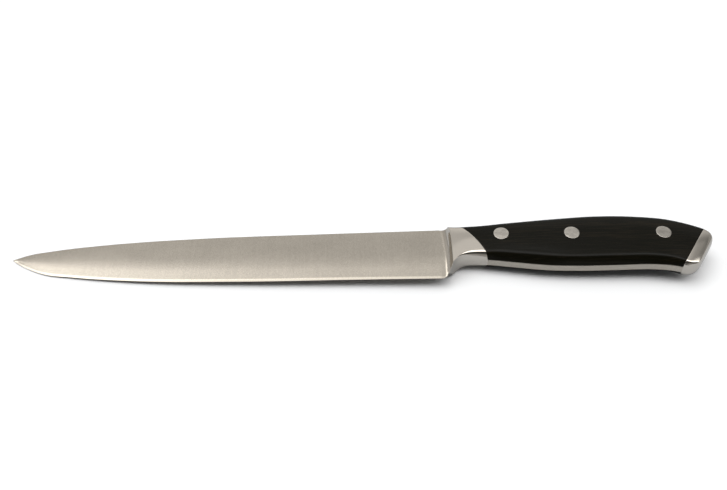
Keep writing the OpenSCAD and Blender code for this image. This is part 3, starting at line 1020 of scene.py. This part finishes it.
class KNIFE_OT_rivets(Operator):
    """Set the three rivets and grind their heads flush with the grip"""

    bl_idname = "knife.rivets"
    bl_label = "Set the rivets"

    def execute(self, context):
        knife = Knife(context.scene)
        handle = add_object(make_mesh("handle surface", scale_rings(knife), []))
        tree = rivet_tree()
        for kind, profile, side in (("pin", pin_profile, 1), ("sleeve", sleeve_profile, -1)):
            blank = add_object(revolve(profile(knife), knife.rivets.sides))
            mesh = bpy.data.meshes.new(f"finished_rivet_{kind}s")
            mesh.from_pydata([(*middle, 0) for middle in knife.middles], [], [])
            seats = [knife.side_z(*middle) - knife.rivets.head_t for middle in knife.middles]
            mesh.attributes.new("seat", "FLOAT", "POINT").data.foreach_set("value", seats)
            made = add_object(mesh)
            modifier = made.modifiers.new("Rivets", "NODES")
            modifier.node_group = tree
            inputs = {"Blank": blank, "Handle": handle, "Material": material(rivet_steel)}
            for item in tree.interface.items_tree:
                if item.name in inputs:
                    modifier[item.identifier] = inputs[item.name]
            settle_mesh(made, blank)
            for mark in MARKS:
                made.data.attributes.remove(made.data.attributes[mark])
            if side < 0:
                made.data.transform(Matrix.Scale(-1, 4, (0, 0, 1)))
                made.data.flip_normals()
            ride(made, knife, "rivet_steel", *[f"{which}_rivet_{kind}" for which in RIVETS])
        bpy.data.objects.remove(handle)
        return {"FINISHED"}


def resting_table():
    """Where the knife's point rests on the table, the table's direction along the knife, and its normal."""
    corners = np.array([v.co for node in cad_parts.values() for v in node.data.vertices])
    tip = corners[np.argmin(corners[:, 0])]
    near_tip = corners[corners[:, 0] < tip[0] + 2 * MM]
    tip = near_tip[np.argmin(near_tip[:, 2])]
    far = corners[corners[:, 0] > 0]
    slope = np.min((far[:, 2] - tip[2]) / (far[:, 0] - tip[0]))
    along = Vector((1, 0, slope)).normalized()
    return Vector(tip), along, Vector((-slope, 0, 1)).normalized()


class KNIFE_OT_stage(Operator):
    """Put up the table, the lights and the camera"""

    bl_idname = "knife.stage"
    bl_label = "Put up the stage"

    def execute(self, context):
        scene = context.scene
        tip, along, up = resting_table()
        across = up.cross(along)
        x, y = scene.knife_studio.aim_x, scene.knife_studio.aim_y
        aim = Vector((x, y, tip.z - (x - tip.x) * up.x / up.z))
        self.add_table(aim, along, across)
        self.add_camera(scene, aim, along, across, up)
        self.add_light(scene)
        scene.view_settings.view_transform = "Standard"
        return {"FINISHED"}

    @staticmethod
    def add_table(aim, along, across):
        mesh = bpy.data.meshes.new("table")
        corners = [(-1, -1), (1, -1), (1, 1), (-1, 1)]
        points = [aim + TABLE_HALF * (x * along + y * across) for x, y in corners]
        mesh.from_pydata(points, [], [(0, 1, 2, 3)])
        table = add_object(mesh)
        made = Finish("white table")
        seen = made.add("ShaderNodeLightPath", output="Is Camera Ray")
        paints = (TABLE_MIRRORED, TABLE_SEEN)
        coats = [made.add("ShaderNodeBsdfDiffuse", (), {"Color": colour(paint)}) for paint in paints]
        mixed = made.add("ShaderNodeMixShader", (), {0: seen, 1: coats[0], 2: coats[1]})
        made.add("ShaderNodeOutputMaterial", (), {"Surface": mixed})
        mesh.materials.append(made.material)

    @staticmethod
    def add_camera(scene, aim, along, across, up):
        studio = scene.knife_studio
        data = bpy.data.cameras.new("camera")
        data.lens = studio.focal
        data.clip_start = 10 * MM
        camera = add_object(data)
        back = math.sin(studio.elevation) * up - math.cos(studio.elevation) * across
        turn = Matrix((along, back.cross(along), back)).transposed()
        camera.matrix_world = Matrix.Translation(aim + studio.distance * back) @ turn.to_4x4()
        scene.camera = camera

    @staticmethod
    def add_light(scene):
        """The room that the steel mirrors: a bright panel overhead, walls behind it and a dim front.

        Turn is in degrees, from the horizon in front, over the top, to the horizon behind. The room's x
        runs from -1 beyond the knife's point to 1 beyond its butt.
        """
        world = bpy.data.worlds.new("studio")
        world.use_nodes = True
        world.node_tree.nodes.clear()
        scene.world = world
        graph = Graph(world.node_tree)
        x, y, z = graph.parts(graph.add("ShaderNodeTexCoord", output="Generated"))
        turn = graph.math("ARCTAN2", z, 0 - y) * (180 / math.pi)
        # The panel's far edge comes forward towards the butt, and by a step beyond the point
        far = graph.between(x, -0.55, 0.35, 123, 97) - graph.between(x, -0.54, -0.42, 14, 0)
        panel = graph.between(turn, 62, 88) * graph.between(turn - far, -9, 9, 1, 0)
        panel = panel * (graph.between(x, -0.4, 0, 3.3, 3.1) + graph.between(x, 0.3, 0.6, 0, 1.2))
        # The wall has a darker band along it, and below that a second wall adds light towards the butt
        band = graph.between(turn, 127, 129) * graph.between(turn, 133, 135, 1, 0)
        wall = graph.between(turn, 96, 106) * (1 - band * 0.28) * graph.between(x, 0.1, 0.6, 0.8, 0.34)
        low_wall = graph.between(turn, 134, 142) * graph.between(x, 0, 0.6, 0, 0.22)
        walls = (wall + low_wall) * graph.between(turn, 152, 178, 1, 0.6)
        # Both ends of the room are darker, and its front is lit only near the horizon
        ends = graph.between(x, -0.58, -0.4, 0.75, 1) * graph.between(x, 0.6, 0.9, 1, 0.65)
        front = graph.between(turn, 22, 4) * graph.between(x, -0.4, 0.3, 0.1, 0.42)
        light = (panel + walls) * ends + front + EVERYWHERE
        seen = graph.add("ShaderNodeLightPath", output="Is Camera Ray")
        strength = light * (1 - seen) + seen
        shader = graph.add("ShaderNodeBackground", (), {"Color": (1, 1, 1, 1), "Strength": strength})
        graph.add("ShaderNodeOutputWorld", (), {"Surface": shader})


class KNIFE_PT_panel(Panel):
    """Lists the steps that make the knife."""

    bl_idname = "KNIFE_PT_panel"
    bl_label = "Carving Knife"
    bl_space_type = "VIEW_3D"
    bl_region_type = "UI"
    bl_category = "Knife"

    def draw(self, context):
        for step in STEPS:
            self.layout.operator(step.bl_idname)


STEPS = (KNIFE_OT_stage, KNIFE_OT_forging, KNIFE_OT_scales, KNIFE_OT_rivets)
GROUPS = {
    "knife_blade": BladeSizes,
    "knife_handle": HandleSizes,
    "knife_rivets": RivetSizes,
    "knife_finishes": Finishes,
    "knife_studio": StudioSizes,
}
CLASSES = (*GROUPS.values(), *STEPS, KNIFE_PT_panel)


def register():
    for cls in CLASSES:
        bpy.utils.register_class(cls)
    for name, group in GROUPS.items():
        setattr(bpy.types.Scene, name, PointerProperty(type=group))


def unregister():
    for name in GROUPS:
        delattr(bpy.types.Scene, name)
    for cls in reversed(CLASSES):
        bpy.utils.unregister_class(cls)


def main():
    register()
    bpy.ops.knife.stage()
    bpy.ops.knife.forging()
    bpy.ops.knife.scales()
    bpy.ops.knife.rivets()


if __name__ == "__main__":
    main()
